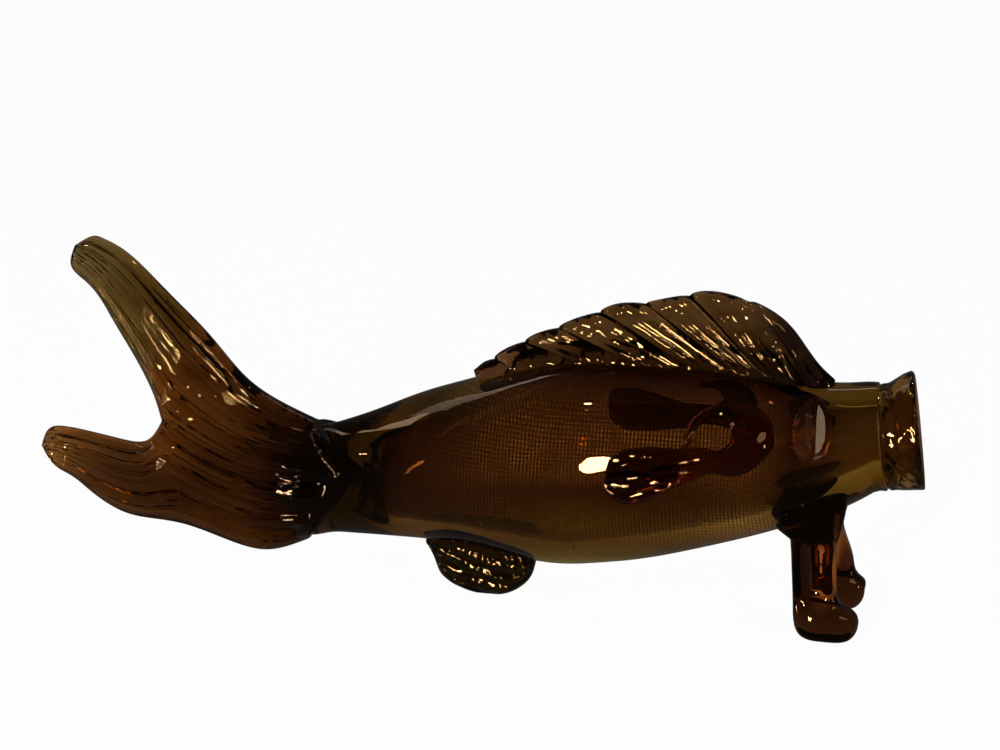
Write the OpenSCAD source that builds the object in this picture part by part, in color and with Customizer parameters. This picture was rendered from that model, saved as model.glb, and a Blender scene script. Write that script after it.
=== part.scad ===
// Fish decanter in amber glass: a hollow blown body that pours from the mouth, with a lip,
// tail, fins, feet and eyes that are solid gathers of glass, each set on the body hot.
// Millimetres. +X runs from the tail to the mouth, +Z is up, and the feet stand on z = 0.

/* [Body] */
// Length of the blown body, from the end of the tail stock to the seat of the lip
body_length = 264; // [220:1:316]
// Thickness of the blown wall
wall = 4; // [3:0.1:5]
// Length of solid glass between the end of the tail stock and the hollow
solid_stock = 26; // [20:1:32]
// Height of the tail stock at its end, inside the tail
stock_height = 51; // [43:1:62]
// Height of the wrist, the slimmest part before the tail
wrist_height = 52; // [44:1:63]
// Height of the back, where the dorsal fin starts
back_height = 72; // [60:1:86]
// Height of the belly at its fullest
belly_height = 91; // [76:1:109]
// Height of the chest, behind the side fins
chest_height = 81; // [68:1:97]
// Height of the head, at the eyes
head_height = 63; // [53:1:76]
// Width of the tail stock at its end
stock_width = 24; // [20:1:29]
// Width of the wrist
wrist_width = 33; // [28:1:40]
// Width of the back
back_width = 64; // [54:1:76]
// Width of the belly
belly_width = 84; // [70:1:101]
// Width of the chest
chest_width = 77; // [64:1:92]
// Width of the head
head_width = 62; // [52:1:74]
// Outer diameter of the neck, where the lip sits
neck_diameter = 43.6; // [41:0.1:52]

/* [Levels above the table] */
// Centre of the tail stock
stock_level = 46.5; // [39:0.5:55]
// Centre of the wrist
wrist_level = 50; // [42:0.5:60]
// Centre of the back
back_level = 60; // [54:0.5:68]
// Centre of the belly
belly_level = 65; // [60:0.5:78]
// Centre of the chest
chest_level = 72; // [66:0.5:86]
// Centre of the head
head_level = 77.5; // [70:0.5:93]
// Centre of the neck
neck_level = 87.5; // [78:0.5:105]
// Upward tilt of the neck, in degrees
neck_tilt = 8; // [4:0.5:12]

/* [Lip] */
// Diameter of the pouring bore
mouth_bore = 35; // [29:0.5:36]
// Length of the lip along the neck
lip_length = 15; // [12:0.5:18]
// How far the rim stands out from the neck
lip_flare = 1.4; // [0.8:0.1:3]
// Radius of the rim's rounded edges
lip_round = 1.4; // [0.8:0.1:1.8]

/* [Tail] */
// Reach of the lower lobe behind the end of the tail stock
tail_reach = 122; // [102:1:146]
// Height of the upper lobe's tip above the table
tail_rise = 154.5; // [138:0.5:180]
// Height of the tail's lowest edge above the table
tail_drop = 12.5; // [8:0.5:16]
// Length of the tail's chevron over the body, ahead of the end of the stock
tail_wrap = 31; // [26:1:37]
// Thickness of the glass over the sides of the stock
tail_cover = 3; // [2.4:0.1:3.6]
// Thickness of the tail at the fork
tail_thickness = 13; // [10:0.5:16]
// Thickness of the tail at the tips
tail_tip_thickness = 8; // [6:0.5:10]
// Ribs in each lobe
tail_ribs = 6; // [4:1:8]

/* [Dorsal fin] */
// Height of the fin above the back
dorsal_height = 34.5; // [28:0.5:42]
// Length of the fin along the back
dorsal_length = 154; // [128:1:170]
// Thickness of the fin at its root
dorsal_root = 13; // [10:0.5:16]
// Thickness of the fin at its crest
dorsal_crest = 6.4; // [5:0.2:8]
// Slanted ribs along the fin
dorsal_ribs = 11; // [9:1:13]

/* [Feet] */
// Distance between the middles of the two front soles
front_track = 39; // [33:1:46]
// Width of a front foot along the body
front_foot_width = 26; // [22:0.5:31]
// Thickness of a front foot from side to side
front_foot_thickness = 12; // [10:0.5:14]
// How far a foot's rounded end is ground away to make its flat sole
sole_cut = 2.2; // [1.6:0.1:3]
// Width of the rear foot along the body
rear_foot_width = 48; // [40:1:57]
// Thickness of the rear foot from side to side
rear_foot_thickness = 13; // [11:0.5:16]

/* [Side fins] */
// Diameter of the curl that the fin starts from
curl_diameter = 39; // [33:1:46]
// Thickness of the curl's strand
curl_strand = 11; // [9:0.5:13]
// Length of the leaf behind the curl
leaf_length = 46; // [38:1:55]
// Spread of the leaf at its tip
leaf_spread = 24; // [20:1:29]
// How far the left fin sits behind the right one
left_fin_back = 12; // [0:1:18]
// How far the left leaf is turned up above the right one, in degrees around the body
left_leaf_lift = 14; // [0:1:18]

/* [Eyes] */
// Height of an eye
eye_height = 23; // [19:0.5:27]
// Width of an eye
eye_width = 18; // [15:0.5:21]
// How far an eye stands out of the head
eye_relief = 5; // [4:0.5:6]

/* [Hidden] */

amber = "#6b3a0c";
pale_amber = "#8a5a16";
deep_amber = "#4a2408";

// How finely the free shapes are drawn
ring_sides = 36;
ring_step = 7.6;
cap_rings = 6;
bead_sides = 12;

// How deep a gather is sunk into the body before the body's own surface trims it to a seat
seat_depth = 4;

// Stations of the body from the tail to the neck, as shares of its length
station_share = [0, 0.106, 0.297, 0.487, 0.696, 0.859, 1];
station_level = [stock_level, wrist_level, back_level, belly_level, chest_level, head_level, neck_level];
station_rise = [stock_height, wrist_height, back_height, belly_height, chest_height, head_height, neck_diameter] / 2;
station_half = [stock_width, wrist_width, back_width, belly_width, chest_width, head_width, neck_diameter] / 2;

// The origin lies midway between the tail's rearmost tip and the rim's foremost point
rim_radius = neck_diameter / 2 + lip_flare;
front_reach = body_length + lip_length * cos(neck_tilt) + rim_radius * sin(neck_tilt);
stock_x = (tail_reach - front_reach) / 2;
neck_x = stock_x + body_length;
station_x = [for (s = station_share) stock_x + s * body_length];

// Smooth curve through points, with one end slope given or else taken from the last span
function span_of(xs, x, i = 0) = i >= len(xs) - 2 || x < xs[i + 1] ? i : span_of(xs, x, i + 1);
function slope_at(xs, ys, i, last) =
    i == 0 ? (ys[1] - ys[0]) / (xs[1] - xs[0])
    : i < len(xs) - 1 ? (ys[i + 1] - ys[i - 1]) / (xs[i + 1] - xs[i - 1])
    : is_undef(last) ? (ys[i] - ys[i - 1]) / (xs[i] - xs[i - 1]) : last;
function through(xs, ys, x, last) =
    let (i = span_of(xs, x), run = xs[i + 1] - xs[i], t = (x - xs[i]) / run)
    (2 * t ^ 3 - 3 * t ^ 2 + 1) * ys[i] + (t ^ 3 - 2 * t ^ 2 + t) * run * slope_at(xs, ys, i, last)
    + (3 * t ^ 2 - 2 * t ^ 3) * ys[i + 1] + (t ^ 3 - t ^ 2) * run * slope_at(xs, ys, i + 1, last);

// The body's centreline, its lean and its half sizes at a place along it
function level_at(x) = through(station_x, station_level, x, tan(neck_tilt));
function rise_at(x) = through(station_x, station_rise, x, 0);
function half_at(x) = through(station_x, station_half, x, 0);
function lean_at(x) = let (d = 0.01) x > neck_x - d ? neck_tilt : atan((level_at(x + d) - level_at(x)) / d);

// A point on the body's skin: turn 0 is its left side, 90 its top, 180 its right side and 270 its underside.
// shrink is how far it lies inside the skin, and share closes the section towards a rounded end.
function skin(x, turn, shrink = 0, share = 1, shift = 0) =
    let (lean = lean_at(x), up = share * (rise_at(x) - shrink) * sin(turn))
    [x + shift - up * sin(lean), share * (half_at(x) - shrink) * cos(turn), level_at(x) + up * cos(lean)];
function skin_out(x, turn) =
    let (d = skin(x, turn) - skin(x, turn, 1)) d / norm(d);

// Rings of a lofted skin, and the triangles that join them
function ring(x, shrink, share, shift) =
    [for (k = [0 : ring_sides - 1]) skin(x, 360 * k / ring_sides, shrink, share, shift)];
function band(from, to, turned) =
    [for (k = [0 : ring_sides - 1]) let (n = (k + 1) % ring_sides)
        each turned ? [[from + k, from + n, to + n], [from + k, to + n, to + k]]
            : [[from + k, to + n, from + n], [from + k, to + k, to + n]]];
function fan(hub, rim, turned) =
    [for (k = [0 : ring_sides - 1]) let (n = (k + 1) % ring_sides)
        turned ? [hub, rim + n, rim + k] : [hub, rim + k, rim + n]];

// A closed end: rings that shrink along a quarter ellipse of the given depth, tip first
function end_rings(x, depth, shrink) =
    [for (k = [1 : cap_rings]) let (a = 90 * k / cap_rings) ring(x, shrink, sin(a), -depth * cos(a))];
function side_rings(from, shrink) =
    let (count = round((neck_x - from) / ring_step))
    [for (k = [1 : count]) ring(from + (neck_x - from) * k / count, shrink, 1, 0)];
function skin_rings(from, depth, shrink) = concat(end_rings(from, depth, shrink), side_rings(from, shrink));
function skin_tip(x, depth) = [x - depth, 0, level_at(x)];
function flatten(lists) = [for (l = lists) each l];

stock_round = 8;
hollow_round = 14;
hollow_x = stock_x + solid_stock;
outer_rings = skin_rings(stock_x, stock_round, 0);
inner_rings = skin_rings(hollow_x + hollow_round, hollow_round, wall);

// The body as a solid with no hollow, which gives every gather its seat
module body_block() {
    rings = outer_rings;
    last = (len(rings) - 1) * ring_sides + 1;
    polyhedron(
        points = concat([skin_tip(stock_x, stock_round)], flatten(rings), [[neck_x, 0, neck_level]]),
        faces = concat(
            fan(0, 1, false),
            [for (r = [0 : len(rings) - 2]) each band(1 + r * ring_sides, 1 + (r + 1) * ring_sides, false)],
            fan(last + ring_sides, last, true)),
        convexity = 6);
}

// The blown shell: the outer skin, the seat of the lip, and the skin of the hollow
module body_shell() {
    outer_start = 1;
    outer_last = outer_start + (len(outer_rings) - 1) * ring_sides;
    inner_start = outer_last + ring_sides;
    inner_last = inner_start + (len(inner_rings) - 1) * ring_sides;
    color(amber)
        polyhedron(
            points = concat([skin_tip(stock_x, stock_round)], flatten(outer_rings), flatten(inner_rings),
                [skin_tip(hollow_x + hollow_round, hollow_round)]),
            faces = concat(
                fan(0, outer_start, false),
                [for (r = [0 : len(outer_rings) - 2])
                    each band(outer_start + r * ring_sides, outer_start + (r + 1) * ring_sides, false)],
                band(outer_last, inner_last, false),
                [for (r = [0 : len(inner_rings) - 2])
                    each band(inner_start + r * ring_sides, inner_start + (r + 1) * ring_sides, true)],
                fan(inner_last + ring_sides, inner_start, true)),
            convexity = 10);
}

// The lip: a wrap of glass around the mouth, with a true round bore and a rounded, flared rim
module mouth_lip() {
    seat_r = neck_diameter / 2;
    bore_r = mouth_bore / 2;
    color(amber)
        translate([neck_x, 0, neck_level])
            rotate([0, 90 - neck_tilt, 0])
                rotate_extrude($fn = 96)
                    union() {
                        polygon([[bore_r, 0], [seat_r, 0], [rim_radius, lip_length - lip_round],
                            [rim_radius - lip_round, lip_length - lip_round],
                            [rim_radius - lip_round, lip_length], [bore_r + lip_round, lip_length],
                            [bore_r + lip_round, lip_length - lip_round], [bore_r, lip_length - lip_round]]);
                        for (r = [rim_radius - lip_round, bore_r + lip_round])
                            translate([r, lip_length - lip_round])
                                circle(r = lip_round, $fn = 32);
                    }
}

// A bead of hot glass at a place: drawn out to both faces of a thick fin, or pressed flat in a thin one
module bead(at, radius, half) {
    reach = max(half - radius, 0);
    for (side = reach > 0 ? [-1, 1] : [0])
        translate(at + [0, side * reach, 0])
            scale([1, min(half / radius, 1), 1])
                sphere(r = radius, $fn = bead_sides);
}

// A strand: beads joined one to the next. Each bead is [place, radius, half thickness].
module strand(beads) {
    for (k = [0 : len(beads) - 2])
        hull() {
            bead(beads[k][0], beads[k][1], beads[k][2]);
            bead(beads[k + 1][0], beads[k + 1][1], beads[k + 1][2]);
        }
}

// Everything below the table, to grind soles flat
module below_table() {
    size = 2 * body_length;
    translate([-size / 2, -size / 2, -size])
        cube(size);
}

// Middles of the outermost ribs of the two tail lobes, from the chevron to the tip, seen from the stock's end.
// x is a share of the wrap ahead of that end or of the reach behind it, and z a share of the tail's height.
upper_lobe_top = [[0.4, 0.415], [-0.11, 0.475], [-0.26, 0.59], [-0.41, 0.735], [-0.56, 0.868], [-0.68, 0.955], [-0.775, 0.97]];
upper_lobe_fork = [[1, 0.305], [-0.11, 0.27], [-0.41, 0.38], [-0.535, 0.58], [-0.645, 0.74], [-0.75, 0.865], [-0.82, 0.925]];
lower_lobe_fork = [[1, 0.305], [-0.11, 0.27], [-0.42, 0.35], [-0.6, 0.305], [-0.735, 0.31], [-0.86, 0.325], [-0.95, 0.325]];
lower_lobe_base = [[0.28, 0.085], [-0.11, 0.045], [-0.27, 0.07], [-0.54, 0.105], [-0.73, 0.155], [-0.86, 0.225], [-0.978, 0.28]];
tail_segments = 9;

// Half thickness of a tail rib from the chevron to the tip, and what it takes to cover the stock's side,
// which fades out behind the stock's end
rib_half = [1, 1, 1, 1, (1 + tail_tip_thickness / tail_thickness) / 2, tail_tip_thickness / tail_thickness,
    tail_tip_thickness / tail_thickness] * tail_thickness / 2;
cover_fade = 40;

function cover_half(at) =
    let (x = stock_x + max(at[0], 0), off = (at[2] - level_at(x)) / rise_at(x), fade = -at[0] / cover_fade)
    max(1 - max(fade, 0), 0) * (half_at(x) * sqrt(max(1 - off ^ 2, 0)) + tail_cover);
function tail_place(share) =
    [share[0] * (share[0] > 0 ? tail_wrap : tail_reach), 0, tail_drop + share[1] * (tail_rise - tail_drop)];
function along(values, t) = through([for (k = [0 : len(values) - 1]) k], values, t);
function edge_at(edge, t) =
    let (places = [for (share = edge) tail_place(share)])
    [along([for (p = places) p[0]], t), 0, along([for (p = places) p[2]], t)];

// One lobe: ribs side by side from one edge to the other, each wide enough to run into the next
module tail_lobe(edge_a, edge_b) {
    for (rib = [0 : tail_ribs - 1])
        strand([for (k = [0 : tail_segments])
            let (t = k * (len(edge_a) - 1) / tail_segments, a = edge_at(edge_a, t), b = edge_at(edge_b, t),
                at = a + (b - a) * rib / (tail_ribs - 1),
                radius = max(0.66 * norm(b - a) / (tail_ribs - 1), 0.34 * tail_tip_thickness))
            [at, radius, max(along(rib_half, t), cover_half(at))]]);
}

module tail_fin() {
    color(pale_amber)
        translate([stock_x, 0, 0])
            difference() {
                union() {
                    tail_lobe(upper_lobe_top, upper_lobe_fork);
                    tail_lobe(lower_lobe_fork, lower_lobe_base);
                }
                translate([-stock_x, 0, 0])
                    body_block();
            }
}

// The crest of the dorsal fin: height above the back, as shares of the fin's height along its length
crest_share = [0, 0.17, 0.4, 0.62, 0.75, 0.88, 1];
crest_height = [0.14, 0.42, 0.78, 1, 0.97, 0.68, 0.05];
dorsal_front = neck_x - 0.095 * body_length;

function dorsal_x(share) = dorsal_front - dorsal_length * (1 - share);
function top_at(x) = skin(x, 90)[2];
function crest_at(share) = top_at(dorsal_x(share)) + dorsal_height * through(crest_share, crest_height, share);

// A web from the root to the crest, and ribs on it that lean back, most of all in the middle
web_steps = 12;

module dorsal_fin() {
    radius = 0.58 * dorsal_length / dorsal_ribs;
    web_r = dorsal_crest / 2;
    color(pale_amber)
        difference() {
            union() {
                for (k = [0 : web_steps - 1])
                    hull()
                        for (share = [k, k + 1] / web_steps) {
                            x = dorsal_x(share);
                            bead([x, 0, top_at(x) - seat_depth], web_r, web_r);
                            bead([x, 0, max(crest_at(share) - web_r, top_at(x) - seat_depth)], web_r, web_r);
                        }
                for (rib = [0 : dorsal_ribs - 1])
                    let (s = rib / (dorsal_ribs - 1), foot = 0.09 + 0.87 * s, head = foot - 0.05 - 0.19 * sin(180 * s ^ 0.8),
                        root = [dorsal_x(foot), 0, top_at(dorsal_x(foot)) - seat_depth],
                        tip = [dorsal_x(head), 0, crest_at(head) - 0.8 * radius])
                    strand([[root, radius, dorsal_root / 2], [(root + tip) / 2, radius, (dorsal_root + dorsal_crest) / 4],
                        [tip, 0.8 * radius, dorsal_crest / 2]]);
            }
            body_block();
        }
}

// The rear foot: a paddle under the belly whose ribs sweep back to a rounded, ground edge
rear_foot_x = stock_x + 0.333 * body_length;
rear_foot_ribs = 6;

module rear_foot() {
    half = rear_foot_thickness / 2;
    radius = 0.75 * rear_foot_width / rear_foot_ribs;
    color(deep_amber)
        difference() {
            union()
                for (rib = [0 : rear_foot_ribs - 1])
                    let (t = 2 * rib / (rear_foot_ribs - 1) - 1, x = rear_foot_x + t * (rear_foot_width / 2 - radius),
                        root = skin(x, 270) + [0, 0, seat_depth],
                        tip = [rear_foot_x + 0.85 * t * (rear_foot_width / 2 - radius), 0,
                            radius - sole_cut + 1.4 * radius * t ^ 2])
                    strand([[root, radius, half], [(root + tip) / 2, radius, half], [tip, radius, half]]);
            body_block();
            below_table();
        }
}

// A front foot: a strap drawn down from the jaw, with thick edges and a broad sole
front_foot_x = stock_x + 0.895 * body_length;
front_foot_turn = 40;
front_foot_ribs = 4;

module front_foot(side) {
    sole_r = front_foot_thickness / 2;
    root_width = 0.9 * front_foot_width;
    color(deep_amber)
        difference() {
            union()
                for (rib = [0 : front_foot_ribs - 1])
                    let (t = rib / (front_foot_ribs - 1) - 0.5, edge = abs(t) > 0.3 ? 1 : 0,
                        x = front_foot_x - 2 + t * (root_width - 2 * sole_r),
                        hip = skin(x, 270 + side * front_foot_turn, seat_depth),
                        sole = [front_foot_x + 7 + t * (front_foot_width - 2 * sole_r), side * front_track / 2,
                            sole_r - sole_cut],
                        shin = (hip + sole) / 2 + [-1.5, side * 1.5, 0])
                    strand([[hip, sole_r, sole_r], [shin, 0.62 * sole_r, (0.62 + 0.2 * edge) * sole_r],
                        [sole, sole_r, sole_r]]);
            body_block();
            below_table();
        }
}

// A side fin: a strand that curls once on the flank, then fans into a ribbed leaf towards the tail
curl_x = stock_x + 0.78 * body_length;
curl_turn = 28;
leaf_turn = 10;
curl_steps = 12;
leaf_ribs = 4;

// A place on the flank, given by the distances ahead of and above the middle of the curl
function flank(ahead, above, side, out) =
    let (x = curl_x - (side > 0 ? left_fin_back : 0) + ahead, turn = curl_turn + above / rise_at(x) * 180 / PI,
        facing = side > 0 ? turn : 180 - turn)
    skin(x, facing) + out * skin_out(x, facing);

module side_fin(side) {
    strand_r = curl_strand / 2;
    curl_r = curl_diameter / 2 - strand_r;
    leaf_lift = side > 0 ? left_leaf_lift : 0;
    leaf_drop = (leaf_turn + leaf_lift - curl_turn) * PI / 180 * rise_at(curl_x);
    color(deep_amber)
        difference() {
            union() {
                strand([for (k = [0 : curl_steps])
                    let (a = 300 - 330 * k / curl_steps, r = curl_r * (1 - 0.45 * k / curl_steps))
                    [flank(r * cos(a), r * sin(a), side, 0.25 * strand_r), strand_r, strand_r]]);
                for (rib = [0 : leaf_ribs - 1])
                    let (t = rib / (leaf_ribs - 1) - 0.5)
                    strand([for (k = [0 : 4])
                        let (s = k / 4, fade = 1 - 0.45 * s)
                        [flank(0.5 * curl_r - s * (leaf_length + 0.5 * curl_r - 8 * t ^ 2),
                            -curl_r + s * (leaf_drop + 0.45 * curl_r) + t * leaf_spread * (0.25 + 0.75 * s), side, 1.5 * s),
                            strand_r * fade, strand_r * fade]]);
            }
            body_block();
        }
}

// An eye: an oval button of glass pressed on the side of the head
eye_x = stock_x + 0.905 * body_length;
eye_turn = 27;
eye_rings = 8;

module eye(side) {
    facing = side > 0 ? eye_turn : 180 - eye_turn;
    at = skin(eye_x, facing);
    out = skin_out(eye_x, facing);
    color(deep_amber)
        difference() {
            union()
                for (k = [0 : eye_rings - 1])
                    let (a = 90 * k / eye_rings)
                    hull()
                        for (b = [a, a + 90 / eye_rings], end = [-1, 1])
                            translate(at + out * (eye_relief * sin(b) - seat_depth * (1 - sin(b)))
                                + [0, 0, end * (eye_height - eye_width) / 2 * cos(b)])
                                sphere(r = max(eye_width / 2 * cos(b), 0.5), $fn = bead_sides);
            body_block();
        }
}

body_shell();
mouth_lip();
tail_fin();
dorsal_fin();
rear_foot();
front_foot(-1);  // front_foot_right
front_foot(1);  // front_foot_left
side_fin(-1);  // side_fin_right
side_fin(1);  // side_fin_left
eye(-1);  // eye_right
eye(1);  // eye_left
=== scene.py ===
import bpy
import bmesh
import math
import numpy as np
from mathutils import Matrix, Vector
from mathutils.bvhtree import BVHTree


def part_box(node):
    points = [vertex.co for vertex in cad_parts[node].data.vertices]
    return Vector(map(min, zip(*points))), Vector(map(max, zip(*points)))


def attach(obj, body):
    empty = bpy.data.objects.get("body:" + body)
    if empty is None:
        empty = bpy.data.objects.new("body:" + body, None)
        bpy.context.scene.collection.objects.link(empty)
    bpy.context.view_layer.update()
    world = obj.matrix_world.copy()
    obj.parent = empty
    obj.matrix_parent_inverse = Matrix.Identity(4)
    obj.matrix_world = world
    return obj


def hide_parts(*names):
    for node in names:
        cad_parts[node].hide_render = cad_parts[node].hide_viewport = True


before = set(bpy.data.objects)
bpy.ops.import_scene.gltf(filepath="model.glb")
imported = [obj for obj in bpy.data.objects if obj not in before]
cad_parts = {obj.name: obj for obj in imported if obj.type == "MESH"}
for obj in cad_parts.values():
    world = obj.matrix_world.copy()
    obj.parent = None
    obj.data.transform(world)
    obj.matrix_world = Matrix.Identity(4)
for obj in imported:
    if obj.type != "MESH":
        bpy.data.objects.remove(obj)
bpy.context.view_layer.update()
mm = 0.001
print("frame loaded:", len(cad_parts), "CAD nodes")


def boxOf(node):  # a node's corners in millimetres
    low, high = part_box(node)
    return np.array(low) / mm, np.array(high) / mm


def toLinear(hexColour):  # sRGB hex to the linear values that shader sockets take
    code = hexColour.lstrip("#")
    parts = [int(code[i:i + 2], 16) / 255 for i in (0, 2, 4)]
    return [p / 12.92 if p <= 0.04045 else ((p + 0.055) / 1.055) ** 2.4 for p in parts] + [1.0]


def addNode(tree, kind, settings=None, links=None):
    node = tree.nodes.new(kind)
    for key, value in (settings or {}).items():
        if isinstance(key, str) and hasattr(node, key):
            setattr(node, key, value)
        else:
            node.inputs[key].default_value = value
    for key, source in (links or {}).items():
        tree.links.new(source, node.inputs[key])
    return node


def smoothStep(low, high, value):
    t = np.clip((np.asarray(value, float) - low) / (high - low), 0, 1)
    return t * t * (3 - 2 * t)


def throughPoints(knots, values, at):  # natural cubic spline, one column for each coordinate
    knots = np.asarray(knots, float)
    values = np.asarray(values, float)
    flat = values.ndim == 1
    if flat:
        values = values[:, None]
    n = len(knots)
    step = np.diff(knots)
    system = np.eye(n)
    right = np.zeros_like(values)
    for i in range(1, n - 1):
        system[i, i - 1:i + 2] = [step[i - 1], 2 * (step[i - 1] + step[i]), step[i]]
        right[i] = 3 * ((values[i + 1] - values[i]) / step[i] - (values[i] - values[i - 1]) / step[i - 1])
    c = np.linalg.solve(system, right)
    at = np.asarray(at, float)
    k = np.clip(np.searchsorted(knots, at, "right") - 1, 0, n - 2)
    d = np.clip(at, knots[0], knots[-1]) - knots[k]
    shape = d.shape + (1,)
    d = d.reshape(shape)
    h = step[k].reshape(shape)
    b = (values[k + 1] - values[k]) / h - h * (2 * c[k] + c[k + 1]) / 3
    out = values[k] + b * d + c[k] * d ** 2 + (c[k + 1] - c[k]) / (3 * h) * d ** 3
    return out[..., 0] if flat else out


waveCount = 3
waveSpread = 1.7  # so many sines of one height swing about this much more than one of them
onEdge = 1e-6  # a point this near to an outline, in mm, is on it


def handWaves(seed, x, z, waves):  # slow unevenness of hand-worked glass: (wavelength mm, height mm) pairs
    pick = np.random.default_rng(seed)
    total = np.zeros(np.broadcast(x, z).shape)
    for length, height in waves:
        for _ in range(waveCount):
            turn, start = pick.uniform(0, math.tau, 2)
            along = x * math.cos(turn) + z * math.sin(turn)
            total += height / waveSpread * np.sin(math.tau / length * along + start)
    return total


def edgeDistance(points, outline):  # how far each (x, z) point is from a polyline
    flat = points.reshape(-1, 2)
    best = np.full(len(flat), np.inf)
    for start, run in zip(outline[:-1], np.diff(outline, axis=0)):
        length = max(float(run @ run), onEdge ** 2)
        t = np.clip((flat - start) @ run / length, 0, 1)
        best = np.minimum(best, np.linalg.norm(flat - start - t[:, None] * run, axis=1))
    return best.reshape(points.shape[:-1])


def roundedEdge(inside, rounding):  # a half-round edge: 0 on the outline, 1 from the rounding inwards
    return np.sqrt(1 - (1 - np.clip(inside / rounding, 0, 1)) ** 2)


def patchFaces(rows, columns, start=0, around=False):  # quads of a grid of points kept row by row
    faces = []
    for r in range(rows - 1):
        for c in range(columns if around else columns - 1):
            d = (c + 1) % columns
            at = start + r * columns
            faces.append((at + c, at + d, at + columns + d, at + columns + c))
    return faces


weld = 0.02 * mm
sliver = 0.01 * mm
sharpEdge = math.radians(55)


class Hot:  # gathers grid patches of one piece before they are joined to a mesh
    def __init__(self):
        self.points = []
        self.faces = []
        self.count = 0

    def patch(self, grid, around=False):
        grid = np.asarray(grid, float)
        self.faces += patchFaces(grid.shape[0], grid.shape[1], self.count, around)
        self.points.append(grid.reshape(-1, 3))
        self.count += grid.shape[0] * grid.shape[1]

    def piece(self, name, node, slotName, finish):
        mesh = bpy.data.meshes.new(name)
        mesh.from_pydata([tuple(p) for p in np.concatenate(self.points) * mm], [], self.faces)
        bm = bmesh.new()
        bm.from_mesh(mesh)
        bmesh.ops.remove_doubles(bm, verts=bm.verts, dist=weld)
        bmesh.ops.dissolve_degenerate(bm, edges=bm.edges, dist=sliver)
        bmesh.ops.recalc_face_normals(bm, faces=bm.faces)
        if bm.calc_volume(signed=True) < 0:
            bmesh.ops.reverse_faces(bm, faces=bm.faces)
        openEdges = sum(1 for e in bm.edges if len(e.link_faces) != 2)
        bm.to_mesh(mesh)
        bm.free()
        mesh.polygons.foreach_set("use_smooth", [True] * len(mesh.polygons))
        mesh.set_sharp_from_angle(angle=sharpEdge)
        mesh.materials.append(finish)
        piece = bpy.data.objects.new(name, mesh)
        bpy.context.collection.objects.link(piece)
        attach(piece, "root")
        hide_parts(node)
        print(name, "made:", len(mesh.polygons), "faces,", openEdges, "open edges")


# materials: one amber soda-lime glass, gathered, blown, pressed and pinched in different ways, its tints
# partly painted light and shade

sodaLime = {
    "ior": 1.52, "seedSize": (0.03, 0.11),  # seeds: small bubbles that dimple the skin
    "rippleHeight": 0.001, "markHeight": 0.0005, "seedHeight": 0.0004,  # metres
    "hazeSpan": (0.5, 1.6),  # the roughness varies between these shares of its own value
    "cordStretch": 0.25,  # cords: streaks of denser glass, drawn out lengthwise
    "bends": (("foldShadeTint", 0.492, 0.43), ("ridgeHighlightTint", 0.515, 0.58)),  # pointiness: from, full at, for the painted shade in folds and the painted highlight on ridges
    "netWobble": 2.2, "netStretch": (("X", 1.0), ("Z", 0.9)), "netWeft": (0.8, 0.2),
}
plainSkin = {  # what a gather of this glass has unless its own dictionary says otherwise
    "shine": "#d0a068", "roughness": 0.012, "rippleMm": 12, "rippleDepth": 0.3, "markMm": 5,
    "markDepth": 0.12, "seedMm": 9, "seedDepth": 0.3, "cordMm": 8,
}
waveUnit = math.tau / 20  # the wave texture turns 20 radians in a unit


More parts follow.
